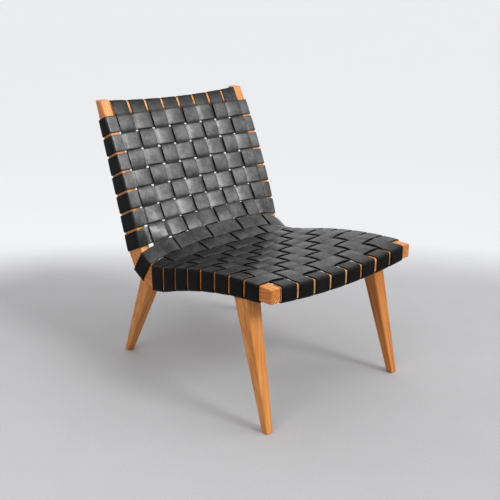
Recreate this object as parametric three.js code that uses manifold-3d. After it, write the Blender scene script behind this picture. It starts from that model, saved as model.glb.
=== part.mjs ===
// Lounge chair: two bent wooden side frames, three cross rails and four raked legs,
// with a seat and back woven from flat leather straps that wrap the frame.
// Millimetres. X runs across the chair, the front faces -Y, Z is up, the feet stand on Z = 0.
import * as THREE from 'three';
import { mergeVertices } from 'three/addons/utils/BufferGeometryUtils.js';
import Module from 'manifold-3d';

const wasm = await Module();
wasm.setup();

// Gap left between pieces that touch
const fitGap = 0.3;

// Line of the seat and back, seen from the side, where the straps lie on the wood
const seatFrontHeight = 405;
const seatLength = 440;
const seatCrown = 4.6; // rise of the seat line's handle, at half its length
const seatDrop = 59.8;
const cornerRun = 110.5;
const cornerRise = 28.8;
const seatCornerPull = 80; // how far the seat runs on before it turns up
const backCornerPull = 14;
const backRise = 406;
const backLean = 172.5;
const backFootLean = 60.3; // lean of the back line's handle, at half its rise

// Side frames: a seat rail and a back post on each side
const clearWidth = 474; // between the two side frames
const frameThickness = 33;
const railFrontDepth = 39;
const railRearDepth = 75;
const cornerDepth = 73;
const postFootDepth = 67;
const postTopDepth = 27;
const edgeEase = 3; // rounding of the long edges

// Straps. Crosswise straps are counted from the top, lengthwise straps from the left
const strapWidth = 50;
const strapThickness = 3;
const strapGap = 5; // least gap between neighbouring straps
const frontMargin = 42; // bare wood before the first seat strap
const topMargin = 49; // bare wood above the first back strap
const backStrapClose = 1.5; // how much closer the back straps lie than the seat straps
const strapTail = 26; // length tacked under the wood
const seatWrapAngle = -90; // direction of the wrap across the side of the frame, in degrees
const cornerWrapAngle = -56;
const backWrapAngle = -24;

// Web of straps in the middle of the chair, drawn tight across the corner
const webLeave = 0.37; // share of the seat's curve at which the web leaves it
const webMeet = 0.49; // share of the back's curve at which the web meets it
const webSeatPull = 276;
const webBackPull = 279;
const closingRows = 4; // rows over which the straps close up towards the corner

// Cross rails and their tenons
const frontRailThickness = 30;
const frontRailDip = 14;
const topRailThickness = 20;
const topRailDip = 10;
const topRailClear = 4; // from its lower edge to the first back strap
const stretcherHeight = 40;
const stretcherThickness = 22;
const stretcherDrop = 22; // below the seat line
const stretcherClear = 22; // ahead of the rear leg
const tenonLength = 20;
const tenonShoulder = 5;

// Corner dowels
const dowelDiameter = 8;
const dowelLength = 40;
const dowelInset = 9; // from the outer face of the frame to the middle of the dowel
const dowelSides = 12;

// Legs: notched under the side frame, with a tongue that laps its inner face
const legFootSide = 23.5;
const legTopSide = 54;
const legCornerRadius = 6.5;
const footEase = 1.5;
const legTopInset = 3; // from the outer face of the frame
const frontFootInset = 4;
const rearFootInset = 17;
const frontFootDepth = 25; // from the front face to the middle of the foot
const rearFootDepth = 680;
const frontLegSet = 132.7; // along the seat line, from its front to the middle of the leg
const rearLegSet = 9.4; // along the line, from the middle of the corner to the middle of the leg
const legDrop = 12; // from the seat line to the top of the leg

// Leg bolts
const boltDiameter = 6;
const boltHeadDiameter = 11;
const boltHeadHeight = 6;
const boltDowelClear = 3; // wood left between the bolts and the corner dowels
const boltSpacing = 22;
const boltDrop = 16; // below the top of the leg
const boltSides = 10;

const colours = { oak: 0xc88e4e, leather: 0x1d1d1f, steel: 0x8d8f92, dowel: 0xd8b27c };

const innerFace = clearWidth / 2;
const outerFace = innerFace + frameThickness;
const overlapLift = (strapThickness + fitGap) / 2;
const restLift = fitGap + strapThickness / 2; // middle of a strap that lies on wood

const degrees = THREE.MathUtils.degToRad;
const easeOut = (u) => 1 - (1 - u) ** 2;
const along = (angle) => new THREE.Vector2(Math.cos(degrees(angle)), Math.sin(degrees(angle)));
const leftOf = (direction) => new THREE.Vector2(-direction.y, direction.x).normalize();

// Seat and back line as one path of three curves, depth as x and height as y
const seatFront = new THREE.Vector2(0, seatFrontHeight);
const seatHandle = new THREE.Vector2(seatLength / 2, seatFrontHeight + seatCrown);
const seatRear = new THREE.Vector2(seatLength, seatFrontHeight - seatDrop);
const backFoot = seatRear.clone().add(new THREE.Vector2(cornerRun, cornerRise));
const backHandle = backFoot.clone().add(new THREE.Vector2(backFootLean, backRise / 2));
const backTop = backFoot.clone().add(new THREE.Vector2(backLean, backRise));
const seatEndDirection = seatRear.clone().sub(seatHandle).normalize();
const backStartDirection = backHandle.clone().sub(backFoot).normalize();
const cornerHandleIn = seatRear.clone().addScaledVector(seatEndDirection, seatCornerPull);
const cornerHandleOut = backFoot.clone().addScaledVector(backStartDirection, -backCornerPull);

const line = new THREE.CurvePath();
line.add(new THREE.QuadraticBezierCurve(seatFront, seatHandle, seatRear));
line.add(new THREE.CubicBezierCurve(seatRear, cornerHandleIn, cornerHandleOut, backFoot));
line.add(new THREE.QuadraticBezierCurve(backFoot, backHandle, backTop));
const lineLength = line.getLength();
const linePoint = (run) => line.getPoint(run / lineLength);
const [cornerStart, cornerEnd] = line.getCurveLengths();
const cornerMiddle = (cornerStart + cornerEnd) / 2;

// A quadratic curve's handles, point and direction at a share of it
function splitCurve(start, handle, end, share) {
  const before = start.clone().lerp(handle, share);
  const after = handle.clone().lerp(end, share);
  const point = before.clone().lerp(after, share);
  const direction = after.clone().sub(before).normalize();
  return { before, after, point, direction };
}

// Line of the web in the middle of the chair: it dips with the front rail, and bridges the corner
const dipped = (point) => point.clone().add(new THREE.Vector2(0, -frontRailDip));
const webStart = splitCurve(dipped(seatFront), dipped(seatHandle), dipped(seatRear), webLeave);
const webEnd = splitCurve(backFoot, backHandle, backTop, webMeet);
const webLine = new THREE.CurvePath();
webLine.add(new THREE.QuadraticBezierCurve(dipped(seatFront), webStart.before, webStart.point));
webLine.add(new THREE.CubicBezierCurve(
  webStart.point,
  webStart.point.clone().addScaledVector(webStart.direction, webSeatPull),
  webEnd.point.clone().addScaledVector(webEnd.direction, -webBackPull),
  webEnd.point,
));
webLine.add(new THREE.QuadraticBezierCurve(webEnd.point, webEnd.after, backTop));
const webLength = webLine.getLength();
const webLinePoint = (run) => webLine.getPoint(run / webLength);

// Crosswise straps: as many as fit along the line, one of them over the corner
const crosswiseSpan = lineLength - frontMargin - topMargin;
const crosswiseCount = Math.floor((crosswiseSpan + strapGap) / (strapWidth + strapGap));
const crosswisePitch = (crosswiseSpan - strapWidth) / (crosswiseCount - 1);
const firstMiddle = lineLength - topMargin - strapWidth / 2;
const cornerStrap = 1 + Math.round((firstMiddle - cornerMiddle) / crosswisePitch);

function wrapAngle(number) {
  if (number === cornerStrap) return cornerWrapAngle;
  return number < cornerStrap ? backWrapAngle : seatWrapAngle;
}

// Depth of the wood under the line, measured in the direction of the wrap
const cornerRunEnd = topMargin + cornerStrap * crosswisePitch;
function woodDepth(number, run) {
  if (number === cornerStrap) return cornerDepth;
  if (number < cornerStrap) {
    const fromTop = (lineLength - run) / (cornerRunEnd - crosswisePitch);
    return postTopDepth + (postFootDepth - postTopDepth) * easeOut(fromTop);
  }
  return railFrontDepth + (railRearDepth - railFrontDepth) * run / (lineLength - cornerRunEnd);
}

// In the middle of the web, the gap after a strap as a share of the widest gap
function gapShare(number) {
  const rows = Math.abs(number + 0.5 - cornerStrap);
  return (1 + Math.min(rows, closingRows)) / (1 + closingRows);
}

let gapShareSum = 0;
for (let number = 1; number < crosswiseCount; number += 1) gapShareSum += gapShare(number);
const webSlack = webLength - frontMargin - topMargin - crosswiseCount * strapWidth;
const webRearRuns = [0, webLength - topMargin];
for (let number = 1; number < crosswiseCount; number += 1) {
  const gap = webSlack * gapShare(number) / gapShareSum;
  webRearRuns[number + 1] = webRearRuns[number] - strapWidth - gap;
}

// Where a crosswise strap's two edges lie on the frame and in the middle, and how it wraps the frame
function crosswiseStation(number) {
  const pitch = number < cornerStrap ? crosswisePitch - backStrapClose : crosswisePitch;
  const rearRun = lineLength - topMargin - (number - 1) * pitch;
  const direction = along(wrapAngle(number));
  const edges = [strapWidth, 0].map((ahead) => {
    const run = rearRun - ahead;
    const inner = linePoint(run);
    const outer = inner.clone().addScaledVector(direction, woodDepth(number, run));
    const middle = webLinePoint(webRearRuns[number] - ahead);
    return { run, inner, outer, middle };
  });
  const normal = leftOf(edges[1].inner.clone().sub(edges[0].inner));
  const middleNormal = leftOf(edges[1].middle.clone().sub(edges[0].middle));
  const outward = leftOf(edges[0].outer.clone().sub(edges[1].outer));
  return { edges, normal, middleNormal, outward };
}

const crosswise = [];
for (let number = 1; number <= crosswiseCount; number += 1) crosswise[number] = crosswiseStation(number);

// Lengthwise straps: as many as fit, and where each one's two edges lie across the chair
const lengthwiseCount = Math.floor(clearWidth / (strapWidth + strapGap));
const lengthwisePitch = clearWidth / lengthwiseCount;
const lengthwise = [];
for (let number = 1; number <= lengthwiseCount; number += 1) {
  const middle = (number - 0.5) * lengthwisePitch - innerFace;
  lengthwise[number] = [middle - strapWidth / 2, middle + strapWidth / 2];
}

// The seat dips with the front rail and is level across at the corner
const dipAcross = (x) => 1 - (x / innerFace) ** 2;
const dipEnd = crosswise[cornerStrap].edges[0].run;
function seatDip(x, run) {
  const fromFront = THREE.MathUtils.clamp((run - frontMargin) / (dipEnd - frontMargin), 0, 1);
  return frontRailDip * dipAcross(x) * (1 - fromFront ** 3);
}

// What the pull of the straps adds to that dip: all of it in the middle, none at the outer faces
const drawAcross = (x) => 1 - Math.abs(x / outerFace) ** 3;
function webDraw({ edges, normal }, edge) {
  const { run, inner, middle } = edges[edge];
  return middle.clone().sub(inner).addScaledVector(normal, seatDip(0, run));
}

const place = (x, point) => new THREE.Vector3(x, point.x, point.y);

function webPoint(x, station, edge, lift) {
  const { run, inner } = station.edges[edge];
  const share = drawAcross(x);
  const normal = station.normal.clone().lerp(station.middleNormal, share).normalize();
  return place(x, inner.clone()
    .addScaledVector(station.normal, -seatDip(x, run))
    .addScaledVector(webDraw(station, edge), share)
    .addScaledVector(normal, lift));
}

// Whether the crosswise strap passes over the lengthwise one, as plus or minus the overlap
const crossing = (across, down) => ((across + down) % 2 === 1 ? overlapLift : -overlapLift);

// Closed mesh from vertices and triangles, with its faces turned outwards
function closedGeometry(vertices, triangles) {
  let volume = 0;
  for (const [a, b, c] of triangles) {
    volume += vertices[a].dot(vertices[b].clone().cross(vertices[c]));
  }
  const faces = volume < 0 ? triangles.map(([a, b, c]) => [a, c, b]) : triangles;
  const geometry = new THREE.BufferGeometry().setFromPoints(vertices);
  geometry.setIndex(faces.flat());
  geometry.computeVertexNormals();
  return geometry;
}

// Flat strap swept through rings of four corners: first edge under and over, second edge under and over
function strapGeometry(rings) {
  const cornerCount = rings[0].length;
  const [firstUnder, firstOver, secondUnder, secondOver] = rings[0].keys();
  const triangles = [];
  for (let ring = 0; ring + 1 < rings.length; ring += 1) {
    const here = ring * cornerCount;
    const next = here + cornerCount;
    const quad = (a, b) => {
      triangles.push([here + a, next + a, next + b], [here + a, next + b, here + b]);
    };
    quad(firstOver, secondOver);
    triangles.push(
      [here + firstUnder, next + secondUnder, next + firstUnder],
      [here + firstUnder, here + secondUnder, next + secondUnder],
    );
    quad(firstUnder, firstOver);
    quad(secondOver, secondUnder);
  }
  const last = (rings.length - 1) * cornerCount;
  triangles.push([firstUnder, firstOver, secondOver], [firstUnder, secondOver, secondUnder]);
  triangles.push(
    [last + firstUnder, last + secondOver, last + firstOver],
    [last + firstUnder, last + secondUnder, last + secondOver],
  );
  return closedGeometry(rings.flat(), triangles);
}

// The strap's under and over faces on wood, at a distance from the middle of an eased edge
const foldReach = [edgeEase + fitGap, edgeEase + fitGap + strapThickness];
const foldTurns = [0, 0.5, 1];

// One edge of a strap going round an eased edge of the wood, from one face's direction to the next
function foldPoints(corner, from, to) {
  const centre = corner.clone().addScaledVector(from, -edgeEase).addScaledVector(to, -edgeEase);
  return foldTurns.map((turn) => {
    const angle = turn * Math.PI / 2;
    const direction = from.clone().multiplyScalar(Math.cos(angle)).addScaledVector(to, Math.sin(angle));
    return foldReach.map((reach) => centre.clone().addScaledVector(direction, reach));
  });
}

const flatPoints = (point, normal) => [fitGap, fitGap + strapThickness].map(
  (lift) => point.clone().addScaledVector(normal, lift),
);

// Joins the paths of a strap's two edges into rings
const ringsOf = ([first, second]) => first.map((pair, index) => [...pair, ...second[index]]);

// Crosswise strap: tail under one frame, up its side, across the weave and round the other frame
function crosswiseWrap(station, side) {
  const sideways = new THREE.Vector3(side, 0, 0);
  const up = place(0, station.normal);
  const down = place(0, station.outward);
  return ringsOf(station.edges.map(({ inner, outer }, edge) => {
    const shift = webDraw(station, edge).multiplyScalar(drawAcross(innerFace));
    const sunk = Math.min(0, shift.dot(station.normal));
    const leaving = inner.clone().add(shift).addScaledVector(station.normal, -sunk);
    return [
      flatPoints(place(side * (outerFace - strapTail), outer), down),
      ...foldPoints(place(side * outerFace, outer), down, sideways),
      ...foldPoints(place(side * outerFace, inner), sideways, up),
      flatPoints(place(side * innerFace, leaving), up),
    ];
  }));
}

function crosswiseGeometry(down) {
  const station = crosswise[down];
  const woven = [];
  for (let across = 1; across <= lengthwiseCount; across += 1) {
    const lift = restLift + crossing(across, down);
    for (const x of lengthwise[across]) {
      woven.push([0, 1].flatMap((edge) => [
        webPoint(x, station, edge, lift - strapThickness / 2),
        webPoint(x, station, edge, lift + strapThickness / 2),
      ]));
    }
  }
  return strapGeometry([...crosswiseWrap(station, -1), ...woven, ...crosswiseWrap(station, 1).reverse()]);
}

// Front rail: height of its top across the chair, level with the seat rails at its ends
const frontRailTop = (x) => seatFrontHeight - frontRailDip * dipAcross(x);

// Top rail: its own frame, with its front on the back line and its top edge hollowed
const topDirection = backTop.clone().sub(linePoint(lineLength - topMargin)).normalize();
const topNormal = leftOf(topDirection);
const topRailTop = (x) => -fitGap - strapThickness - topRailDip * dipAcross(x);
const topRailLow = topRailClear - topMargin;
const topRailPoint = (x, up, back) => place(
  x, backTop.clone().addScaledVector(topDirection, up).addScaledVector(topNormal, -back),
);

function frontWrap(across) {
  const forward = new THREE.Vector3(0, -1, 0);
  const up = new THREE.Vector3(0, 0, 1);
  const down = new THREE.Vector3(0, 0, -1);
  return ringsOf(lengthwise[across].map((x) => {
    const top = frontRailTop(x);
    const low = top - railFrontDepth;
    return [
      flatPoints(new THREE.Vector3(x, strapTail, low), down),
      ...foldPoints(new THREE.Vector3(x, 0, low), down, forward),
      ...foldPoints(new THREE.Vector3(x, 0, top), forward, up),
      flatPoints(new THREE.Vector3(x, frontRailThickness, top), up),
    ];
  }));
}

function topWrap(across) {
  const forward = place(0, topNormal);
  const up = place(0, topDirection);
  const backward = forward.clone().negate();
  return ringsOf(lengthwise[across].map((x) => {
    const top = topRailTop(x);
    return [
      flatPoints(topRailPoint(x, topRailLow, 0), forward),
      ...foldPoints(topRailPoint(x, top, 0), forward, up),
      ...foldPoints(topRailPoint(x, top, topRailThickness), up, backward),
      flatPoints(topRailPoint(x, top - strapTail, topRailThickness), backward),
    ];
  }));
}

function lengthwiseGeometry(across) {
  const woven = [];
  for (let down = crosswiseCount; down >= 1; down -= 1) {
    const lift = restLift - crossing(across, down);
    for (const edge of [0, 1]) {
      woven.push(lengthwise[across].flatMap((x) => [
        webPoint(x, crosswise[down], edge, lift - strapThickness / 2),
        webPoint(x, crosswise[down], edge, lift + strapThickness / 2),
      ]));
    }
  }
  return strapGeometry([...frontWrap(across), ...woven, ...topWrap(across)]);
}

// Boolean cuts and joins of closed meshes
function toSolid(geometry) {
  const bare = geometry.clone();
  bare.deleteAttribute('normal');
  bare.deleteAttribute('uv');
  const merged = mergeVertices(bare);
  return new wasm.Manifold(new wasm.Mesh({
    numProp: 3,
    vertProperties: new Float32Array(merged.attributes.position.array),
    triVerts: new Uint32Array(merged.index.array),
  }));
}

function toGeometry(solid) {
  const { vertProperties, triVerts } = solid.getMesh();
  const geometry = new THREE.BufferGeometry();
  geometry.setAttribute('position', new THREE.BufferAttribute(vertProperties, 3));
  geometry.setIndex(new THREE.BufferAttribute(triVerts, 1));
  geometry.computeVertexNormals();
  return geometry;
}

const cut = (geometry, tools) => toGeometry(
  tools.reduce((solid, tool) => solid.subtract(toSolid(tool)), toSolid(geometry)),
);
const join = (geometry, extras) => toGeometry(
  extras.reduce((solid, extra) => solid.add(toSolid(extra)), toSolid(geometry)),
);

// Board cut to an outline, eased round its edges and laid in the frame given by a matrix
function boardGeometry(outline, thickness, frame) {
  const geometry = new THREE.ExtrudeGeometry(new THREE.Shape(outline), {
    depth: thickness - 2 * edgeEase,
    bevelThickness: edgeEase,
    bevelSize: edgeEase,
    bevelOffset: -edgeEase,
    bevelSegments: 1,
  });
  geometry.translate(0, 0, edgeEase);
  return geometry.applyMatrix4(frame);
}

const boxBetween = (low, high) => {
  const size = high.clone().sub(low);
  const middle = low.clone().add(high).multiplyScalar(0.5);
  return new THREE.BoxGeometry(...size).translate(...middle);
};

// Round bar along a direction, from a start point
function barGeometry(start, direction, diameter, length, sides) {
  const bar = new THREE.CylinderGeometry(diameter / 2, diameter / 2, length, sides);
  bar.translate(0, length / 2, 0);
  bar.applyQuaternion(new THREE.Quaternion().setFromUnitVectors(new THREE.Vector3(0, 1, 0), direction));
  return bar.translate(...start);
}

// Legs: the side and place of each at every height, and the height of its top
function legPlan(footDepth, lineRun, footInset) {
  const meeting = linePoint(lineRun);
  const rake = (meeting.x - footDepth) / meeting.y;
  const top = meeting.y - legDrop;
  const share = (height) => height / top;
  const depthAt = (height) => footDepth + rake * height;
  const sideAt = (height) => THREE.MathUtils.lerp(legFootSide, legTopSide, share(height));
  const outerAt = (height) => outerFace - THREE.MathUtils.lerp(footInset, legTopInset, share(height));
  return { top, depthAt, sideAt, outerAt };
}

const rearLegRun = cornerMiddle + rearLegSet;
const legPlans = {
  front: legPlan(frontFootDepth, frontLegSet, frontFootInset),
  rear: legPlan(rearFootDepth, rearLegRun, rearFootInset),
};

// Each rail: its section in its own frame, as low and high corners, and that frame's matrix
const straight = new THREE.Matrix4();
const frontRailSection = {
  low: new THREE.Vector2(0, seatFrontHeight - railFrontDepth),
  high: new THREE.Vector2(frontRailThickness, seatFrontHeight),
  frame: straight,
};
const topRailSection = {
  low: new THREE.Vector2(0, topRailLow),
  high: new THREE.Vector2(topRailThickness, topRailTop(innerFace)),
  frame: new THREE.Matrix4().makeBasis(
    new THREE.Vector3(1, 0, 0),
    place(0, topNormal.clone().negate()),
    place(0, topDirection),
  ).setPosition(0, backTop.x, backTop.y),
};
const stretcherTop = linePoint(rearLegRun - legTopSide / 2 - stretcherClear);
const stretcherSection = {
  low: new THREE.Vector2(stretcherTop.x - stretcherThickness, stretcherTop.y - stretcherDrop - stretcherHeight),
  high: new THREE.Vector2(stretcherTop.x, stretcherTop.y - stretcherDrop),
  frame: straight,
};

// Block at one end of a rail, drawn in from the sides of its section
function endBlock({ low, high, frame }, side, from, to, inset) {
  const near = side * from;
  const far = side * to;
  return boxBetween(
    new THREE.Vector3(Math.min(near, far), low.x + inset, low.y + inset),
    new THREE.Vector3(Math.max(near, far), high.x - inset, high.y - inset),
  ).applyMatrix4(frame);
}

// Tenon on the end of a rail, and with a gap the mortise that it fits
const tenon = (section, side, gap) => endBlock(
  section, side, innerFace - tenonLength, innerFace + tenonLength + gap, tenonShoulder - gap,
);

// Board between the side frames: an outline across the chair, as thick as its section.
// The blank is longer than the rail and is trimmed square at its shoulders
const shoulder = innerFace - fitGap;
const blankReach = shoulder + 2 * edgeEase;
const trimming = (section, side) => endBlock(
  section, side, shoulder, blankReach + edgeEase, -2 * edgeEase,
);

function railGeometry(section, top, low, strapEdges) {
  const stops = [-blankReach, ...strapEdges, blankReach];
  const outline = [
    ...stops.map((x) => new THREE.Vector2(x, low(x))),
    ...stops.toReversed().map((x) => new THREE.Vector2(x, top(x))),
  ];
  const thickness = section.high.x - section.low.x;
  const upright = new THREE.Matrix4().makeBasis(
    new THREE.Vector3(1, 0, 0),
    new THREE.Vector3(0, 0, 1),
    new THREE.Vector3(0, -1, 0),
  ).setPosition(0, section.high.x, 0);
  const blank = boardGeometry(outline, thickness, section.frame.clone().multiply(upright));
  const board = cut(blank, [-1, 1].map((side) => trimming(section, side)));
  return join(board, [-1, 1].map((side) => tenon(section, side, 0)));
}

// Side frame outlines, split by a mitre under the corner strap
const corner = crosswise[cornerStrap].edges;
const mitreInner = linePoint((corner[0].run + corner[1].run) / 2);
const mitreOuter = corner[0].outer.clone().add(corner[1].outer).multiplyScalar(0.5);
const mitreDirection = mitreOuter.clone().sub(mitreInner).normalize();
const mitreNormal = leftOf(mitreDirection);
const mitreGap = fitGap / 2;

const wrapEdges = (from, to) => crosswise.slice(from, to + 1).reverse().flatMap((station) => station.edges);

function frameOutline(edges, endInner, endOuter, mitreSide) {
  const offset = mitreNormal.clone().multiplyScalar(mitreSide * mitreGap);
  const inner = [endInner, ...edges.map((edge) => edge.inner), mitreInner.clone().add(offset)];
  const outer = [endOuter, ...edges.map((edge) => edge.outer), mitreOuter.clone().add(offset)];
  return [...inner, ...outer.reverse()];
}

const railOutline = frameOutline(
  [...wrapEdges(cornerStrap + 1, crosswiseCount), corner[0]],
  seatFront,
  seatFront.clone().add(new THREE.Vector2(0, -railFrontDepth)),
  -1,
);
const postOutline = frameOutline(
  [...wrapEdges(1, cornerStrap - 1).reverse(), corner[1]],
  backTop,
  backTop.clone().add(new THREE.Vector2(postTopDepth, 0)),
  1,
);

const boardFrame = (side) => new THREE.Matrix4().makeBasis(
  new THREE.Vector3(0, 1, 0),
  new THREE.Vector3(0, 0, 1),
  new THREE.Vector3(1, 0, 0),
).setPosition(side > 0 ? innerFace : -outerFace, 0, 0);

// Corner dowels cross the mitre at a quarter and three quarters of its length
const mitreLength = mitreOuter.distanceTo(mitreInner);
const dowelShares = { upper: 0.25, lower: 0.75 };
const dowelDirection = place(0, mitreNormal);

function dowelBar(side, share, gap) {
  const length = dowelLength + 2 * gap;
  const middle = mitreInner.clone().addScaledVector(mitreDirection, share * mitreLength);
  const start = middle.addScaledVector(mitreNormal, -length / 2);
  const across = side * (outerFace - dowelInset);
  return barGeometry(place(across, start), dowelDirection, dowelDiameter + 2 * gap, length, dowelSides);
}

// Rounded square across a leg, drawn in at the eased foot
const cornerSteps = 3;
function legRing(plan, side, height, drawIn) {
  const width = plan.sideAt(height) - 2 * drawIn;
  const centre = side * (plan.outerAt(height) - plan.sideAt(height) / 2);
  const ring = [];
  for (let quarter = 0; quarter < 4; quarter += 1) {
    for (let step = 0; step <= cornerSteps; step += 1) {
      const angle = (quarter + step / cornerSteps) * Math.PI / 2;
      const middle = (quarter + 0.5) * Math.PI / 2;
      const reach = width / 2 - legCornerRadius;
      const x = Math.sign(Math.cos(middle)) * reach + legCornerRadius * Math.cos(angle);
      const y = Math.sign(Math.sin(middle)) * reach + legCornerRadius * Math.sin(angle);
      ring.push(new THREE.Vector3(centre + x, plan.depthAt(height) + y, height));
    }
  }
  return ring;
}

function loftGeometry(rings) {
  const size = rings[0].length;
  const triangles = [];
  for (let ring = 0; ring + 1 < rings.length; ring += 1) {
    for (let index = 0; index < size; index += 1) {
      const a = ring * size + index;
      const b = ring * size + (index + 1) % size;
      triangles.push([a, b, b + size], [a, b + size, a + size]);
    }
  }
  const last = (rings.length - 1) * size;
  for (let index = 1; index + 1 < size; index += 1) {
    triangles.push([0, index + 1, index], [last, last + index, last + index + 1]);
  }
  return closedGeometry(rings.flat(), triangles);
}

// Space of a wrapped side frame past its inner face, which the leg is notched to clear
const wrapSpace = strapThickness + 2 * fitGap;
function frameSpace(side) {
  const stations = crosswise.slice(1);
  const outline = [
    seatFront,
    ...wrapEdges(1, crosswiseCount).map((edge) => edge.inner),
    backTop,
    ...stations.flatMap(({ edges, outward }) => edges.toReversed().map(
      ({ outer }) => outer.clone().addScaledVector(outward, wrapSpace),
    )),
    seatFront.clone().add(new THREE.Vector2(0, -railFrontDepth - wrapSpace)),
  ];
  const depth = frameThickness + fitGap + wrapSpace;
  const space = new THREE.ExtrudeGeometry(new THREE.Shape(outline), { depth, bevelEnabled: false });
  space.applyMatrix4(boardFrame(1)).translate(-fitGap, 0, 0);
  return side > 0 ? space : space.translate(-2 * shoulder - depth, 0, 0);
}

const legBlank = (plan, side) => loftGeometry([
  legRing(plan, side, 0, footEase),
  legRing(plan, side, footEase, 0),
  legRing(plan, side, plan.top, 0),
]);

// Leg bolts run outwards through the tongue, their heads sunk in its inner face,
// and end in the side frame short of the corner dowels
const boltEnd = outerFace - dowelInset - dowelDiameter / 2 - boltDowelClear;
function boltStart(plan, side, row) {
  const height = plan.top - boltDrop;
  const depth = plan.depthAt(height) + row * boltSpacing / 2;
  const inner = plan.outerAt(height) - plan.sideAt(height);
  return new THREE.Vector3(side * (inner + fitGap), depth, height);
}

const boltReach = (start) => boltEnd - Math.abs(start.x);

function boltBores(plan, side, row) {
  const start = boltStart(plan, side, row);
  const outward = new THREE.Vector3(side, 0, 0);
  const mouth = start.clone().addScaledVector(outward, -boltHeadHeight);
  return [
    barGeometry(start, outward, boltDiameter + 2 * fitGap, boltReach(start) + fitGap, boltSides),
    barGeometry(mouth, outward, boltHeadDiameter + 2 * fitGap, 2 * boltHeadHeight + fitGap, boltSides),
  ];
}

function boltGeometry(plan, side, row) {
  const start = boltStart(plan, side, row);
  const reach = boltReach(start);
  const profile = [
    new THREE.Vector2(0, 0),
    new THREE.Vector2(boltHeadDiameter / 2, 0),
    new THREE.Vector2(boltHeadDiameter / 2, boltHeadHeight),
    new THREE.Vector2(boltDiameter / 2, boltHeadHeight),
    new THREE.Vector2(boltDiameter / 2, reach),
    new THREE.Vector2(0, reach),
  ];
  const bolt = new THREE.LatheGeometry(profile, boltSides);
  bolt.rotateZ(-side * Math.PI / 2);
  return bolt.translate(...start);
}

// Assembly
const chair = new THREE.Group();
function addPiece(name, geometry, finish) {
  const mesh = new THREE.Mesh(geometry, new THREE.MeshStandardMaterial(finish));
  mesh.name = name;
  chair.add(mesh);
}

const oak = { color: colours.oak, roughness: 0.45, metalness: 0 };
const leather = { color: colours.leather, roughness: 0.55, metalness: 0 };
const steel = { color: colours.steel, roughness: 0.35, metalness: 1 };
const beech = { color: colours.dowel, roughness: 0.6, metalness: 0 };

const sides = { left: -1, right: 1 };
const rows = { front: -1, rear: 1 };

for (const [sideName, side] of Object.entries(sides)) {
  const bores = {};
  for (const [end, plan] of Object.entries(legPlans)) {
    bores[end] = Object.values(rows).flatMap((row) => boltBores(plan, side, row));
    addPiece(`${end}_${sideName}_leg`, cut(legBlank(plan, side), [frameSpace(side), ...bores[end]]), oak);
    for (const [rowName, row] of Object.entries(rows)) {
      addPiece(`${end}_${sideName}_leg_bolt_${rowName}`, boltGeometry(plan, side, row), steel);
    }
  }

  const dowelHoles = Object.values(dowelShares).map((share) => dowelBar(side, share, fitGap));
  for (const [share, at] of Object.entries(dowelShares)) {
    addPiece(`corner_dowel_${sideName}_${share}`, dowelBar(side, at, 0), beech);
  }

  const railBlank = boardGeometry(railOutline, frameThickness, boardFrame(side));
  addPiece(`seat_rail_${sideName}`, cut(railBlank, [
    tenon(frontRailSection, side, fitGap),
    tenon(stretcherSection, side, fitGap),
    ...dowelHoles,
    ...bores.front,
    ...bores.rear,
  ]), oak);

  const postBlank = boardGeometry(postOutline, frameThickness, boardFrame(side));
  addPiece(`back_post_${sideName}`, cut(postBlank, [
    tenon(topRailSection, side, fitGap),
    ...dowelHoles,
    ...bores.rear,
  ]), oak);
}

const level = (height) => () => height;
const strapEdges = lengthwise.slice(1).flat();
addPiece('front_rail', railGeometry(
  frontRailSection, frontRailTop, (x) => frontRailTop(x) - railFrontDepth, strapEdges,
), oak);
addPiece('top_rail', railGeometry(topRailSection, topRailTop, level(topRailLow), strapEdges), oak);
addPiece('rear_stretcher', railGeometry(
  stretcherSection, level(stretcherSection.high.y), level(stretcherSection.low.y), [],
), oak);

const twoDigits = (number) => String(number).padStart(2, '0');
for (let across = 1; across <= lengthwiseCount; across += 1) {
  addPiece(`lengthwise_strap_${twoDigits(across)}`, lengthwiseGeometry(across), leather);
}
for (let down = 1; down <= crosswiseCount; down += 1) {
  addPiece(`crosswise_strap_${twoDigits(down)}`, crosswiseGeometry(down), leather);
}

// The origin lies on the floor under the middle of the chair
const box = new THREE.Box3().setFromObject(chair);
chair.position.y = -(box.min.y + box.max.y) / 2;

export default chair;
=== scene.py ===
import itertools
import math
import random

import bmesh
import bpy
from mathutils import Matrix, Vector, noise


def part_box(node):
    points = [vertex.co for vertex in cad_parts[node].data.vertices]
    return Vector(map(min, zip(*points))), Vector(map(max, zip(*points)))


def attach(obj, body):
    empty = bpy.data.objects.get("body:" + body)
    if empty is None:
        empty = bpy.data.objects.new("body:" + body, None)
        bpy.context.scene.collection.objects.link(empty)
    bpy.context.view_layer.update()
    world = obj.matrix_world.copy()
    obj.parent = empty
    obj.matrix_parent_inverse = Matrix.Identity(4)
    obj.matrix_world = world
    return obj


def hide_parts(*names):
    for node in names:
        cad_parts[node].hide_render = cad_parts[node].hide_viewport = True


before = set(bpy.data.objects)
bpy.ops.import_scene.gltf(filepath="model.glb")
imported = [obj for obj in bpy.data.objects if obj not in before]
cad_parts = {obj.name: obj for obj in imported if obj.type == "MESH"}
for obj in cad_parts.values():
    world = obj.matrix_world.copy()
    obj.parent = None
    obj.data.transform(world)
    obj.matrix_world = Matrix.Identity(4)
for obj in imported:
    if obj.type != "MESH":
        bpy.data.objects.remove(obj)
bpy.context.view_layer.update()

# Side frames: on each side a seat rail and a back post, sawn from honey-coloured hardwood
# and mitred where they meet. The long edges are eased by hand, the free ends are rounded,
# and a satin oil finish lets the growth rings and pores show.
weld_distance = 1e-6
one_plane_angle = math.radians(0.3)
sharp_angle = math.radians(30)
eased_angle = math.radians(50)
eased_corner_angle = math.radians(65)
wood_edge_width = 0.0009
wood_edge_segments = 3
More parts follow.
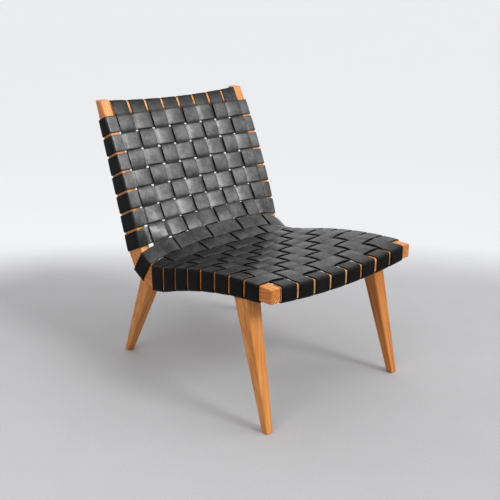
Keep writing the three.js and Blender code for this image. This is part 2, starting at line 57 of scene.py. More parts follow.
free_end_width = 0.003
free_end_reach = 0.004
eased_edge_weight = 0.6
joint_edge_weight = 0.3
least_crosswise = 0.99


def only(piece):
    bpy.ops.object.select_all(action="DESELECT")
    piece.select_set(True)
    bpy.context.view_layer.objects.active = piece


def edit_all(piece, *steps):
    """Runs edit mode operators, each with its settings, on the whole of a piece."""
    only(piece)
    bpy.ops.object.mode_set(mode="EDIT")
    bpy.ops.mesh.select_all(action="SELECT")
    for operator, settings in steps:
        operator(**settings)
    bpy.ops.object.mode_set(mode="OBJECT")


def solid_copy(node_name, name):
    """A piece of its own with the shape of a CAD node: welded, with flat faces made whole."""
    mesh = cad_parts[node_name].data.copy()
    mesh.materials.clear()
    piece = bpy.data.objects.new(name, mesh)
    bpy.context.scene.collection.objects.link(piece)
    only(piece)
    bpy.ops.mesh.customdata_custom_splitnormals_clear()
    edit_all(
        piece, (bpy.ops.mesh.remove_doubles, {"threshold": weld_distance}),
        (bpy.ops.mesh.dissolve_limited, {"angle_limit": one_plane_angle}),
    )
    return piece


def add_modifier(piece, kind, **settings):
    """Adds a modifier with its settings and applies it."""
    only(piece)
    modifier = piece.modifiers.new(kind.title(), kind)
    for key, value in settings.items():
        setattr(modifier, key, value)
    bpy.ops.object.modifier_apply(modifier=modifier.name)


def weigh_edges(piece):
    """Bevel weights: full on the crosswise edges of a free end, less on eased and hidden edges."""
    shape = bmesh.new()
    shape.from_mesh(piece.data)
    front = min(vertex.co.y for vertex in shape.verts)
    top = max(vertex.co.z for vertex in shape.verts)
    weights = []
    for edge in shape.edges:
        start, end = (vertex.co for vertex in edge.verts)
        angle = edge.calc_face_angle(0.0)
        crosswise = abs((end - start).normalized().x) > least_crosswise
        at_free_end = min(start.y - front, top - start.z) < free_end_reach
        if angle < sharp_angle:
            weights.append(0.0)
        elif angle < eased_angle:
            weights.append(eased_edge_weight)
        elif crosswise and at_free_end:
            weights.append(1.0)
        else:
            weights.append(eased_edge_weight if angle < eased_corner_angle else joint_edge_weight)
    shape.free()
    bevel_weights = piece.data.attributes.new("bevel_weight_edge", "FLOAT", "EDGE")
    bevel_weights.data.foreach_set("value", weights)


def round_edges(piece, width, limit="ANGLE"):
    add_modifier(
        piece, "BEVEL", width=width, segments=wood_edge_segments, limit_method=limit,
        angle_limit=sharp_angle, use_clamp_overlap=False, miter_outer="MITER_ARC",
    )
    edit_all(piece, (bpy.ops.mesh.remove_doubles, {"threshold": weld_distance}))
    bpy.ops.object.shade_smooth_by_angle(angle=sharp_angle)
    add_modifier(piece, "WEIGHTED_NORMAL", keep_sharp=True)


def fill(tree, socket, value):
    """Links another node's output to a socket, or sets a plain value on it."""
    if isinstance(value, bpy.types.NodeSocket):
        tree.links.new(value, socket)
    else:
        socket.default_value = value


def node(tree, kind, inputs=None, **settings):
    """Adds a shader node with its settings and inputs."""
    made = tree.nodes.new(kind)
    for key, value in settings.items():
        setattr(made, key, value)
    for key, value in (inputs or {}).items():
        fill(tree, made.inputs[key], value)
    return made


def calc(tree, operation, first, second=0.0):
    return node(tree, "ShaderNodeMath", {0: first, 1: second}, operation=operation).outputs[0]


def vector_calc(tree, operation, first, second, output):
    made = node(tree, "ShaderNodeVectorMath", {0: first, 1: second}, operation=operation)
    return made.outputs[output]


def noise_value(tree, vector, waves, detail=2.0):
    """Noise between 0 and 1, with so many waves a metre along each axis."""
    place = vector_calc(tree, "MULTIPLY", vector, waves, "Vector")
    inputs = {"Vector": place, "Scale": 1.0, "Detail": detail}
    return node(tree, "ShaderNodeTexNoise", inputs).outputs["Fac"]


def spread(tree, value, low, high, to_low=0.0, to_high=1.0):
    """Maps a value from one range to another, and holds it there."""
    inputs = {
        "Value": value, "From Min": low, "From Max": high, "To Min": to_low, "To Max": to_high,
    }
    made = node(tree, "ShaderNodeMapRange", inputs, interpolation_type="SMOOTHSTEP")
    return made.outputs["Result"]


def weighted(tree, terms):
    """Sum of values, each times its weight."""
    total = 0.0
    for value, weight in terms:
        inputs = {0: value, 1: weight, 2: total}
        total = node(tree, "ShaderNodeMath", inputs, operation="MULTIPLY_ADD").outputs[0]
    return total


def ramp(tree, value, stops):
    made = node(tree, "ShaderNodeValToRGB", {"Fac": value})
    elements = made.color_ramp.elements
    while len(elements) < len(stops):
        elements.new(0.5)
    for element, (position, colour) in zip(elements, stops):
        element.position = position
        element.color = (*colour, 1.0)
    return made.outputs["Color"]


def mix_colour(tree, share, first, second):
    made = node(tree, "ShaderNodeMix", data_type="RGBA", blend_type="MIX")
    share_socket, first_socket, second_socket = made.inputs[0], made.inputs[6], made.inputs[7]
    fill(tree, share_socket, share)
    fill(tree, first_socket, first)
    fill(tree, second_socket, second)
    return made.outputs[2]


def node_group(name, inputs, outputs):
    group = bpy.data.node_groups.new(name, "ShaderNodeTree")
    for direction, sockets in (("INPUT", inputs), ("OUTPUT", outputs)):
        for label, kind in sockets.items():
            group.interface.new_socket(label, in_out=direction, socket_type="NodeSocket" + kind)
    return group, group.nodes.new("NodeGroupInput"), group.nodes.new("NodeGroupOutput")


def send(group, group_output, values):
    for label, value in values.items():
        group.links.new(value, group_output.inputs[label])


def use_group(tree, group, inputs):
    made = tree.nodes.new("ShaderNodeGroup")
    made.node_tree = group
    for label, value in inputs.items():
        fill(tree, made.inputs[label], value)
    return made.outputs


def new_finish(name):
    """A new material, its node tree, and the places on a piece that its pattern follows."""
    material = bpy.data.materials.new(name)
    material.use_nodes = True
    place = node(material.node_tree, "ShaderNodeTexCoord").outputs["Object"]
    return material, material.node_tree, place


def shade(tree, values):
    """Gives the shader its linked and its plain values."""
    shader = tree.nodes["Principled BSDF"]
    for label, value in values.items():
        fill(tree, shader.inputs[label], value)


# Growth rings round a pith that runs along X, with fibres, pores and slow changes of tone.
# Waves are counted a metre, along the grain and then across it.
pith_waves = (2.6, 15, 15)
pith_wander = 0.022
fibre_waves = (16, 820, 820)
streak_waves = (4.5, 150, 150)
patch_waves = (3.2, 17, 17)
pore_waves = (70, 1900, 1900)
pore_range = (0.62, 0.74)
late_wood_sharpness = 2.4

grain, grain_in, grain_out = node_group(
    "Hardwood Grain", {"Vector": "Vector", "Ring Width": "Float", "Ring Contrast": "Float"},
    {"Tone": "Float", "Pores": "Float", "Height": "Float"},
)
grain_place = grain_in.outputs["Vector"]
pith_noise = noise_value(grain, grain_place, pith_waves, detail=1.0)
across_grain = vector_calc(grain, "MULTIPLY", grain_place, (0, 1, 1), "Vector")
pith_distance = vector_calc(grain, "LENGTH", across_grain, (0, 0, 0), "Value")
ring_place = weighted(grain, [(pith_distance, 1.0), (pith_noise, pith_wander)])
ring_share = calc(grain, "FRACT", calc(grain, "DIVIDE", ring_place, grain_in.outputs["Ring Width"]))
ring_edge = calc(grain, "POWER", ring_share, late_wood_sharpness)
late_wood = calc(grain, "MULTIPLY", ring_edge, grain_in.outputs["Ring Contrast"])
fibres = noise_value(grain, grain_place, fibre_waves)
streaks = noise_value(grain, grain_place, streak_waves, detail=3.0)
patches = noise_value(grain, grain_place, patch_waves, detail=1.0)
pores = spread(grain, noise_value(grain, grain_place, pore_waves, detail=1.0), *pore_range)
send(grain, grain_out, {
    "Tone": weighted(grain, [(late_wood, 1.0), (streaks, 0.58), (patches, 0.36), (fibres, 0.14)]),
    "Pores": pores,
    "Height": weighted(grain, [(fibres, 0.5), (pores, -0.5), (late_wood, 0.6)]),
})

honey_pale = (0.80, 0.47, 0.20)
honey_light = (0.68, 0.28, 0.070)
honey_middle = (0.56, 0.192, 0.038)
honey_dark = (0.36, 0.092, 0.016)
honey_stops = [(0.20, honey_pale), (0.43, honey_light), (0.58, honey_middle), (0.80, honey_dark)]
pore_brown = (0.26, 0.10, 0.03, 1.0)
pore_strength = 0.45
ring_width = 0.0065
# The rings are faint along a board and plain on its end grain, and darker wood is duller
end_facing_range = (0.6, 0.9)
ring_contrast_range = (0.09, 0.60)
wood_tone_range = (0.3, 0.9)
wood_roughness_range = (0.36, 0.50)
wood_bump = {"Strength": 0.25, "Distance": 0.0004}


def turned_to_grain(tree, place, along, pith):
    """Places with X along the grain and the pith on the X axis."""
    turn = along.rotation_difference(Vector((1, 0, 0)))
    made = node(tree, "ShaderNodeMapping", {"Vector": place, "Location": -(turn @ pith)})
    made.inputs["Rotation"].default_value = turn.to_euler()
    return made.outputs["Vector"]


def wood_finish(name, along, pith, piece_tone_and_painted_light, painted_side_shade):
    """Oiled hardwood. One tone shifts a whole piece paler or darker, on most pieces as painted
    highlight or painted shade, and another darkens the faces that look along X, a painted shade.
    """
    material, tree, place = new_finish(name)
    normal = node(tree, "ShaderNodeNewGeometry").outputs["Normal"]
    facing = calc(tree, "ABSOLUTE", vector_calc(tree, "DOT_PRODUCT", normal, along, "Value"))
    wood = use_group(tree, grain, {
        "Vector": turned_to_grain(tree, place, along, pith),
        "Ring Width": ring_width,
        "Ring Contrast": spread(tree, facing, *end_facing_range, *ring_contrast_range),
    })
    # Faces that look along X are painted darker, a painted shade on the side faces.
    sideways = node(tree, "ShaderNodeSeparateXYZ", {0: normal}).outputs["X"]
    painted_side_shade_share = calc(tree, "ABSOLUTE", sideways)
    tone = weighted(tree, [(wood["Tone"], 1.0), (painted_side_shade_share, painted_side_shade)])
    colour = ramp(tree, calc(tree, "ADD", tone, piece_tone_and_painted_light), honey_stops)
    pore_share = calc(tree, "MULTIPLY", wood["Pores"], pore_strength)
    bump = node(tree, "ShaderNodeBump", {"Height": wood["Height"], **wood_bump})
    shade(tree, {
        "Base Color": mix_colour(tree, pore_share, colour, pore_brown),
        "Roughness": spread(tree, wood["Tone"], *wood_tone_range, *wood_roughness_range),
        "Normal": bump.outputs["Normal"],
        "Specular IOR Level": 0.3,
        "Coat Weight": 0.05,
        "Coat Roughness": 0.3,
    })
    return material


end_band = 0.04
pith_share = 0.4
pith_reach = (0.03, 0.06)
pith_back = 0.02
pith_drop = (0.05, 0.08)
wood_draw = random.Random(11)


def end_middles(node_name, axis):
    """Middles of the two ends of a node along an axis."""
    low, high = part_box(node_name)
    band = (high[axis] - low[axis]) * end_band
    corners = [vertex.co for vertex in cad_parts[node_name].data.vertices]
    near = [point for point in corners if point[axis] < low[axis] + band]
    far = [point for point in corners if point[axis] > high[axis] - band]
    return sum(near, Vector()) / len(near), sum(far, Vector()) / len(far)


def wood_piece(node_name, axis, piece_tone_and_painted_light, painted_side_shade=0.0, free_ended=False):
    """A wooden piece with its grain along it and a pith of its own, outside the board."""
    piece = solid_copy(node_name, node_name + "_wood")
    if free_ended:
        weigh_edges(piece)
        round_edges(piece, free_end_width, "WEIGHT")
    else:
        round_edges(piece, wood_edge_width)
    start, end = end_middles(node_name, axis)
    aside = Vector((wood_draw.uniform(*pith_reach), pith_back, -wood_draw.uniform(*pith_drop)))
    pith = start.lerp(end, pith_share) + aside
    along = (end - start).normalized()
    finish = wood_finish(node_name + "_finish", along, pith, piece_tone_and_painted_light, painted_side_shade)
    piece.data.materials.append(finish)
    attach(piece, "root")
    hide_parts(node_name)


depth_axis, height_axis, width_axis = 1, 2, 0
# The side frames are painted a little paler, a painted highlight for the light on the wood between the
# straps, and darker on their side faces, a painted shade.
side_painted_light = {"piece_tone_and_painted_light": -0.09, "painted_side_shade": 0.14}
for side in ("left", "right"):
    wood_piece(f"seat_rail_{side}", depth_axis, free_ended=True, **side_painted_light)
    wood_piece(f"back_post_{side}", height_axis, free_ended=True, **side_painted_light)

# Corner dowels: pale turned pins of bare beech, two glued across each mitre. They lie inside
# the joint and keep their CAD shape.
beech_waves = (900, 220, 220)
beech_stops = [(0.35, (0.72, 0.52, 0.30)), (0.65, (0.60, 0.39, 0.20))]
beech_fleck_range = (0.3, 0.7)
beech_roughness_range = (0.55, 0.7)

beech, beech_tree, beech_place = new_finish("bare_beech")
beech_fleck = noise_value(beech_tree, beech_place, beech_waves)
shade(beech_tree, {
    "Base Color": ramp(beech_tree, beech_fleck, beech_stops),
    "Roughness": spread(beech_tree, beech_fleck, *beech_fleck_range, *beech_roughness_range),
})
for name, cad_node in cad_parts.items():
    if name.startswith("corner_dowel"):
        cad_node.data.materials.clear()
        cad_node.data.materials.append(beech)

# Cross rails: the hollowed front and top rails that the lengthwise straps wrap, painted paler as a
# painted highlight for the light on the wood between the straps, and a plain stretcher under the rear
# of the seat. Each is tenoned into the side frames.
rail_painted_highlight = {"front_rail": -0.16, "top_rail": -0.16, "rear_stretcher": 0.0}
for rail, rail_highlight_tone in rail_painted_highlight.items():
    wood_piece(rail, width_axis, rail_highlight_tone)

# Legs: tapered square legs with well rounded corners, raked and notched under the side frame,
# with a tongue that laps its inner face.
# The right legs are painted darker than the left, a painted shade for their faces in the shadow of the
# seat.
leg_painted_shade = {"left": -0.02, "right": 0.05}
for end in ("front", "rear"):
    for side in ("left", "right"):
        wood_piece(f"{end}_{side}_leg", height_axis, leg_painted_shade[side])

# Leg bolts: zinc-plated cap screws with a hexagon socket, two through each leg's tongue,
# their heads sunk level with its inner face.
bolt_head_radius = 0.0054
bolt_head_height = 0.006
bolt_head_sides = 40
bolt_shank_radius = 0.0029
bolt_shank_sides = 24
bolt_socket_radius = 0.0031
bolt_socket_depth = 0.0034
bolt_edge = 0.0005
zinc_waves = (420, 420, 420)
zinc_stops = [(0.3, (0.46, 0.47, 0.48)), (0.7, (0.62, 0.63, 0.63))]
zinc_cloud_range = (0.3, 0.7)
zinc_roughness_range = (0.28, 0.42)


def cylinder_along_x(name, sides, radius, start, length):
    bpy.ops.object.select_all(action="DESELECT")
    bpy.ops.mesh.primitive_cylinder_add(
        vertices=sides, radius=radius, depth=length,
        location=(start + length / 2, 0, 0), rotation=(0, math.pi / 2, 0),
    )
    made = bpy.context.object
    made.name = name
    bpy.ops.object.transform_apply(location=True, rotation=True, scale=True)
    return made


def cap_screw(name, length):
    """Cap screw along X with its socket at X = 0."""
    head = cylinder_along_x(name, bolt_head_sides, bolt_head_radius, 0, bolt_head_height)
    key = cylinder_along_x(
        "hexagon_key", 6, bolt_socket_radius, -bolt_socket_depth, 2 * bolt_socket_depth,
    )
    add_modifier(head, "BOOLEAN", operation="DIFFERENCE", object=key, solver="EXACT")
    bpy.data.objects.remove(key)
    add_modifier(
        head, "BEVEL", width=bolt_edge, segments=2, limit_method="ANGLE", angle_limit=sharp_angle,
    )
    shank_length = length - bolt_head_height
    shank = cylinder_along_x(
        "shank", bolt_shank_sides, bolt_shank_radius, bolt_head_height, shank_length,
    )
    only(head)
    shank.select_set(True)
    bpy.ops.object.join()
    bpy.ops.object.shade_smooth_by_angle(angle=sharp_angle)
    return head


zinc, zinc_tree, zinc_place = new_finish("zinc_plate")
zinc_cloud = noise_value(zinc_tree, zinc_place, zinc_waves, detail=3.0)
shade(zinc_tree, {
    "Base Color": ramp(zinc_tree, zinc_cloud, zinc_stops),
    "Roughness": spread(zinc_tree, zinc_cloud, *zinc_cloud_range, *zinc_roughness_range),
    "Metallic": 1.0,
})

for name in [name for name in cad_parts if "_leg_bolt_" in name]:
    low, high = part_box(name)
    middle = (low + high) / 2
    screw = cap_screw(name + "_screw", high.x - low.x)
    if middle.x > 0:
        screw.data.transform(Matrix.Translation((low.x, middle.y, middle.z)))
    else:
        half_turn = Matrix.Rotation(math.pi, 4, "Z")
        screw.data.transform(Matrix.Translation((high.x, middle.y, middle.z)) @ half_turn)
    screw.data.materials.append(zinc)
    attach(screw, "root")
    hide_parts(name)

# Straps: long strips cut from smooth black saddle leather, woven over and under each other.
# Each is drawn tight, folded round the eased edges of the frame and tacked behind it.
# The cut edges are rounded and dyed, and the sitting side has a soft, mottled polish.
strap_step = 0.0032
strap_least_steps = 3
strap_edge_radius = 0.0008
strap_edge_steps = 3
strap_crown = 0.0004
strap_top_columns = 12
strap_under_columns = 5
strap_ripple = 0.00025
strap_ripple_waves = 30
strap_ripple_seed = 5.7
strap_wander = 0.0014
strap_wander_waves = 9.0
strap_wander_seed = 7.3
strap_wrap_rings = 8
strap_draw_in = 0.005
strap_lift = 0.0005
strap_dive_share = 0.6
strap_steepest = 0.13
strap_smooth_angle = math.radians(50)
nearly_square = 0.3


def is_end_corner(vertex):
    """Whether three faces square to each other meet here, as on the cut end of a strap."""
    normals = [face.normal for face in vertex.link_faces]
    return any(
        max(abs(a.dot(b)), abs(b.dot(c)), abs(a.dot(c))) < nearly_square
        for a, b, c in itertools.combinations(normals, 3)
    )


def strap_corners(node_name):
    """Rings of four corners along a strap's CAD solid, from one cut end to the other."""
    welded = bmesh.new()
    welded.from_mesh(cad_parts[node_name].data)
    bmesh.ops.remove_doubles(welded, verts=welded.verts, dist=weld_distance)
    welded.normal_update()
    ends = [vertex for vertex in welded.verts if is_end_corner(vertex)]
    start = ends[0]
    _, over, *far_edge = sorted(ends, key=lambda vertex: (vertex.co - start.co).length)[:4]
    # The nearest corner of the cut end is across the thickness, and the others are at the far edge
    thickness = over.co - start.co
    rings = [[start, over, *sorted(far_edge, key=lambda vertex: vertex.co.dot(thickness))]]
    seen = set(rings[0])
    while True:
        ahead = {edge.other_vert(vertex) for vertex in rings[-1] for edge in vertex.link_edges} - seen
        if not ahead:
            break
        rings.append(min(
            itertools.permutations(ahead),
            key=lambda order: sum((a.co - b.co).length_squared for a, b in zip(order, rings[-1])),
        ))
        seen |= ahead
    corners = [[vertex.co.copy() for vertex in ring] for ring in rings]
    welded.free()
    return corners


def strap_stations(node_name):
    """Places along a strap's CAD solid: the middle, and the half width and half thickness there."""
    corners = strap_corners(node_name)
    travel = [
        sum((here[index] - there[index]).length for here, there in zip(corners, corners[1:]))
        for index in (0, 1)
    ]
    outside = 1 if travel[1] > travel[0] else -1
    stations = []
    for a_first, a_second, b_first, b_second in corners:
        middle = (a_first + a_second + b_first + b_second) / 4
        half_width = (b_first + b_second - a_first - a_second) / 4
        half_thickness = (a_second + b_second - a_first - b_first) / 4 * outside
        stations.append((middle, half_width, half_thickness))
    return stations


def woven_stations(stations):
    """Draws each cell's stations in from its edges, and lifts them off the strap that it crosses."""
    starts = range(strap_wrap_rings, len(stations) - strap_wrap_rings, 2)
    cells = [stations[index][0].lerp(stations[index + 1][0], 0.5) for index in starts]
    rises = [stations[index][2].normalized() for index in starts]
    neighbours = zip(cells, cells[1:], cells[2:], rises[1:])
    swings = [
        (here - before.lerp(after, 0.5)).dot(rise) * (-1) ** number
        for number, (before, here, after, rise) in enumerate(neighbours, 1)
    ]
    lift = math.copysign(strap_lift, sum(swings))
    woven = list(stations)
    for number, index in enumerate(starts):
        (first, *first_halves), (second, *second_halves) = stations[index:index + 2]
        inwards = (second - first).normalized() * strap_draw_in
        shift = rises[number] * lift * (-1) ** number
        woven[index] = (first + inwards + shift, *first_halves)
        woven[index + 1] = (second - inwards + shift, *second_halves)
    return woven


def strap_tangents(stations):
    """Direction of a strap at each station. In the weave it slopes, so that each cell is arched."""
    middles = [station[0] for station in stations]
    last = len(middles) - 1
    tangents = []
    for index, (middle, half_width, half_thickness) in enumerate(stations):
        before, after = middles[max(index - 1, 0)], middles[min(index + 1, last)]
        reach = (after - middle).length + (middle - before).length
        tangent = (after - before) / reach
        if strap_wrap_rings - 1 <= index <= last - strap_wrap_rings + 1:
            outwards = half_thickness.normalized()
            along = half_width.cross(half_thickness).normalized()
            along *= math.copysign(1.0, along.dot(tangent))
            gap = min(after - middle, middle - before, key=lambda step: step.length)
            dive = strap_dive_share * gap.dot(outwards) / gap.dot(along)
            woven = strap_wrap_rings <= index <= last - strap_wrap_rings
            slope = max(-strap_steepest, min(strap_steepest, dive)) if woven else 0.0
            tangent = along + outwards * slope
        tangents.append(tangent)
    return tangents


def smooth_path(stations):
    """Close steps along a strap on one smooth curve, each with how many stations it is from an end."""
    middles = [station[0] for station in stations]
    lengths = [(b - a).length for a, b in zip(middles, middles[1:])]
    last = len(middles) - 1
    tangents = strap_tangents(stations)
    steps = []
    for index, length in enumerate(lengths):
        count = max(strap_least_steps, round(length / strap_step))
        for step in range(count + (index == last - 1)):
            share = step / count
            square, cube = share ** 2, share ** 3
            from_middles = (
                middles[index] * (2 * cube - 3 * square + 1)
                + middles[index + 1] * (3 * square - 2 * cube)
            )
            from_tangents = (
                tangents[index] * (cube - 2 * square + share)
                + tangents[index + 1] * (cube - square)
            )
            half_width = stations[index][1].lerp(stations[index + 1][1], share)
            half_thickness = stations[index][2].lerp(stations[index + 1][2], share)
            from_end = min(index + share, last - index - share)
            steps.append((from_middles + from_tangents * length, half_width, half_thickness, from_end))
    return steps


def rounded_edge(flat, round_height, first_angle):
    """Points round one edge of a strap, from its outer to its inner face or back."""
    points = []
    for column in range(1, 2 * strap_edge_steps):
        angle = first_angle - math.pi * column / (2 * strap_edge_steps)
        rise = math.sin(angle) * strap_edge_radius
        rise += math.copysign(round_height, math.sin(angle) + weld_distance)
        points.append((flat + math.cos(angle) * strap_edge_radius, rise))
    return points


def strap_section(half_width, half_thickness):
    """Outline across a strap, as offsets across and outwards."""
    flat = half_width - strap_edge_radius
    round_height = half_thickness - strap_edge_radius
    section = []
    for column in range(strap_top_columns + 1):
        across = flat * (2 * column / strap_top_columns - 1)
        section.append((across, half_thickness + strap_crown * (1 - (across / half_width) ** 2)))
    section += rounded_edge(flat, round_height, math.pi / 2)
    for column in range(strap_under_columns + 1):
        section.append((flat * (1 - 2 * column / strap_under_columns), -half_thickness))
    section += rounded_edge(-flat, round_height, -math.pi / 2)
    return section


# Leather grain: fine pebbles, clouds of polish and short scuffs
pebble_scale = 1500.0
pebble_waves = (700, 700, 700)
broad_cloud_waves = (26, 26, 26)
close_cloud_waves = (110, 110, 110)
scuff_waves = (60, 420, 60)
scuff_range = (0.62, 0.80)

leather, leather_in, leather_out = node_group(
    "Leather Grain", {"Vector": "Vector"}, {"Mottle": "Float", "Pebble": "Float", "Scuff": "Float"},
)
leather_place = leather_in.outputs["Vector"]
pebble_cells = node(
    leather, "ShaderNodeTexVoronoi", {"Vector": leather_place, "Scale": pebble_scale},
    feature="SMOOTH_F1",
).outputs["Distance"]
pebble_noise = noise_value(leather, leather_place, pebble_waves, detail=3.0)
broad_cloud = noise_value(leather, leather_place, broad_cloud_waves, detail=2.0)
close_cloud = noise_value(leather, leather_place, close_cloud_waves, detail=3.0)
scuff_noise = noise_value(leather, leather_place, scuff_waves, detail=4.0)
send(leather, leather_out, {
    "Mottle": weighted(leather, [(broad_cloud, 0.6), (close_cloud, 0.4)]),
    "Pebble": weighted(leather, [(pebble_cells, 0.6), (pebble_noise, 0.4)]),
    "Scuff": spread(leather, scuff_noise, *scuff_range),
})

dye_stops = [(0.35, (0.0035, 0.0035, 0.0038)), (0.65, (0.0075, 0.0075, 0.0078))]
wear_and_fold_highlight_grey = (0.035, 0.034, 0.033, 1.0)
edge_black = (0.002, 0.002, 0.002, 1.0)
swell_bump = {"Strength": 0.5, "Distance": 0.0022}
pebble_bump = {"Strength": 0.18, "Distance": 0.0003}
least_rough = 0.30
wax_cloud_range = (0.36, 0.64)
wax_range = (0.55, 1.0)

black_leather, leather_tree, strap_place = new_finish("black_saddle_leather")
hide = use_group(leather_tree, leather, {"Vector": strap_place})
rim_share, fold_share, polish_share = (
    node(leather_tree, "ShaderNodeAttribute", attribute_name=label).outputs["Fac"]
    for label in ("rim", "fold", "polish")
)
dyed = ramp(leather_tree, hide["Mottle"], dye_stops)
# The folds are painted a lighter grey, a painted highlight along them, and the scuffs are real wear.
wear_and_fold_highlight_share = weighted(leather_tree, [(fold_share, 0.25), (hide["Scuff"], 0.3)])
wear_and_fold_highlight = mix_colour(leather_tree, wear_and_fold_highlight_share, dyed, wear_and_fold_highlight_grey)
roughening = weighted(
    leather_tree, [(hide["Mottle"], 0.30), (hide["Scuff"], 0.10), (rim_share, 0.12)],
)
swell = node(leather_tree, "ShaderNodeBump", {"Height": hide["Mottle"], **swell_bump})
pebble = node(leather_tree, "ShaderNodeBump", {
    "Height": hide["Pebble"], "Normal": swell.outputs["Normal"], **pebble_bump,
})
wax_cloud = spread(leather_tree, hide["Mottle"], *wax_cloud_range, *wax_range)
face_share = calc(leather_tree, "SUBTRACT", 1.0, rim_share)
clouded_polish = calc(leather_tree, "MULTIPLY", polish_share, wax_cloud)
wax = calc(leather_tree, "MULTIPLY", clouded_polish, face_share)
shade(leather_tree, {
    "Base Color": mix_colour(leather_tree, rim_share, wear_and_fold_highlight, edge_black),
    "Roughness": calc(leather_tree, "ADD", roughening, least_rough),
    "Normal": pebble.outputs["Normal"],
    "Coat Weight": wax,
    "Coat Roughness": 0.35,
    "Coat IOR": 1.78,
    "Specular IOR Level": 0.04,
})

# The polish starts so many rings from a strap's end, and is weaker towards the top of the back
tightest_fold = 0.006
fold_full = 1 / tightest_fold
rim_lead = 0.0004
crosswise_polish = (4.2, 5.8)
lengthwise_polish = (5.0, 8.0)
polish_least = 0.02
polish_fade = 0.42
polish_fade_start = 0.64
polish_fade_height = 0.13


def held(value, low=0.0):
    return min(1.0, max(low, value))


def strap_surface(steps, number, section, flat, polish_span):
    """Points of a strap's surface, their shares of rim, fold and polish, and the strap's length."""
    points = []
    shares = {"rim": [], "fold": [], "polish": []}
    polish_start, polish_full = polish_span
    run = 0.0
    for index, (place, half_width, half_thickness, from_end) in enumerate(steps):
        before = steps[max(index - 1, 0)][0]
        after = steps[min(index + 1, len(steps) - 1)][0]
        along = (after - before).normalized()
        across = half_width.normalized()
        outwards = across.cross(along).normalized()
        if outwards.dot(half_thickness) < 0:
            outwards.negate()
        bend = 0.0
        if 0 < index < len(steps) - 1:
            turn = (after - place).normalized() - (place - before).normalized()
            bend = -turn.dot(outwards) / ((after - before).length / 2)
        run += (place - before).length
        sway_spot = (run * strap_wander_waves, number * strap_wander_seed, 0.0)
        sway = noise.noise(sway_spot) * strap_wander
        polish = held((from_end - polish_start) / (polish_full - polish_start), polish_least)
        polish *= 1 - polish_fade * held((place.z - polish_fade_start) / polish_fade_height)
        for offset, rise in section:
            spot = (offset * strap_ripple_waves, run * strap_ripple_waves, number * strap_ripple_seed)
            ripple = noise.noise(spot) * strap_ripple
            points.append(place + across * (offset + sway) + outwards * (rise + ripple))
            rim = (abs(offset) - flat + rim_lead) / (strap_edge_radius + rim_lead)
            shares["rim"].append(held(rim))
            shares["fold"].append(held(bend / fold_full))
            shares["polish"].append(polish)
    return points, shares, run


def leather_strap(node_name, number, polish_span, widen, shift):
    """Makes a strap along its CAD solid's path, and gives the stations of the path."""
    stations = [
        (middle + shift, half_width * widen, half_thickness)
        for middle, half_width, half_thickness in strap_stations(node_name)
    ]
    half_width, half_thickness = stations[0][1].length, stations[0][2].length
    section = strap_section(half_width, half_thickness)
    steps = smooth_path(woven_stations(stations))
    flat = half_width - strap_edge_radius
    points, shares, run = strap_surface(steps, number, section, flat, polish_span)
    size = len(section)
    faces = []
    for ring in range(len(steps) - 1):
        for index in range(size):
            a, b = ring * size + index, ring * size + (index + 1) % size
            faces.append((a, b, b + size, a + size))
    faces.append(tuple(range(size - 1, -1, -1)))
    faces.append(tuple(range((len(steps) - 1) * size, len(steps) * size)))
    mesh = bpy.data.meshes.new(node_name + "_leather")
    mesh.from_pydata(points, [], faces)
    for label, values in shares.items():
        mesh.attributes.new(label, "FLOAT", "POINT").data.foreach_set("value", values)
    strap = bpy.data.objects.new(node_name + "_leather", mesh)
    bpy.context.scene.collection.objects.link(strap)
    edit_all(strap, (bpy.ops.mesh.normals_make_consistent, {"inside": False}))
    bpy.ops.object.shade_smooth_by_angle(angle=strap_smooth_angle)
    mesh.materials.append(black_leather)
    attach(strap, "root")
    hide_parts(node_name)
    return stations


lengthwise_widen = 1.024
lengthwise_spread = 0.009
strap_ends = []
for number, name in enumerate(sorted(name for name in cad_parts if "wise_strap_" in name)):
    if name.startswith("lengthwise"):
        low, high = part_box(name)
        shift = Vector((low.x + high.x, 0, 0)) / 2 * lengthwise_spread
        stations = leather_strap(
            name, number, lengthwise_polish, lengthwise_widen, shift,
        )
    else:
        stations = leather_strap(name, number, crosswise_polish, 1.0, Vector())
    strap_ends.append((stations[0], stations[1]))
    strap_ends.append((stations[-1], stations[-2]))

# Strap tacks: small domed steel tacks, three across each strap's tail, driven through the
# leather into the hidden face of the frame.
tack_radius = 0.0034
tack_height = 0.0016
tack_inset = 0.009
tack_spread = 0.62

bpy.ops.object.select_all(action="DESELECT")
bpy.ops.mesh.primitive_uv_sphere_add(segments=12, ring_count=8, radius=tack_radius)
tack = bpy.context.object
bpy.ops.object.mode_set(mode="EDIT")
bpy.ops.mesh.select_all(action="SELECT")
bpy.ops.mesh.bisect(plane_co=(0, 0, 0), plane_no=(0, 0, 1), clear_inner=True, use_fill=True)
bpy.ops.mesh.select_all(action="SELECT")
bpy.ops.transform.resize(value=(1, 1, tack_height / tack_radius))
bpy.ops.object.mode_set(mode="OBJECT")
bpy.ops.object.shade_smooth_by_angle(angle=sharp_angle)
tacks = []
for (middle, half_width, half_thickness), (next_middle, _, _) in strap_ends:
    along = (next_middle - middle).normalized()
    outwards = half_thickness.normalized()
    across = half_width.normalized()
    turn = Matrix((across, outwards.cross(across), outwards)).transposed().to_4x4()
    for share in (-tack_spread, 0, tack_spread):
        place = middle + along * tack_inset + half_width * share + half_thickness
        copy = bpy.data.objects.new("tack", tack.data.copy())
        copy.data.transform(Matrix.Translation(place) @ turn)
        bpy.context.scene.collection.objects.link(copy)
        tacks.append(copy)
bpy.data.objects.remove(tack)
only(tacks[0])
for copy in tacks:
    copy.select_set(True)
bpy.ops.object.join()
tacks[0].name = "strap_tacks"
tacks[0].data.materials.append(zinc)
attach(tacks[0], "root")

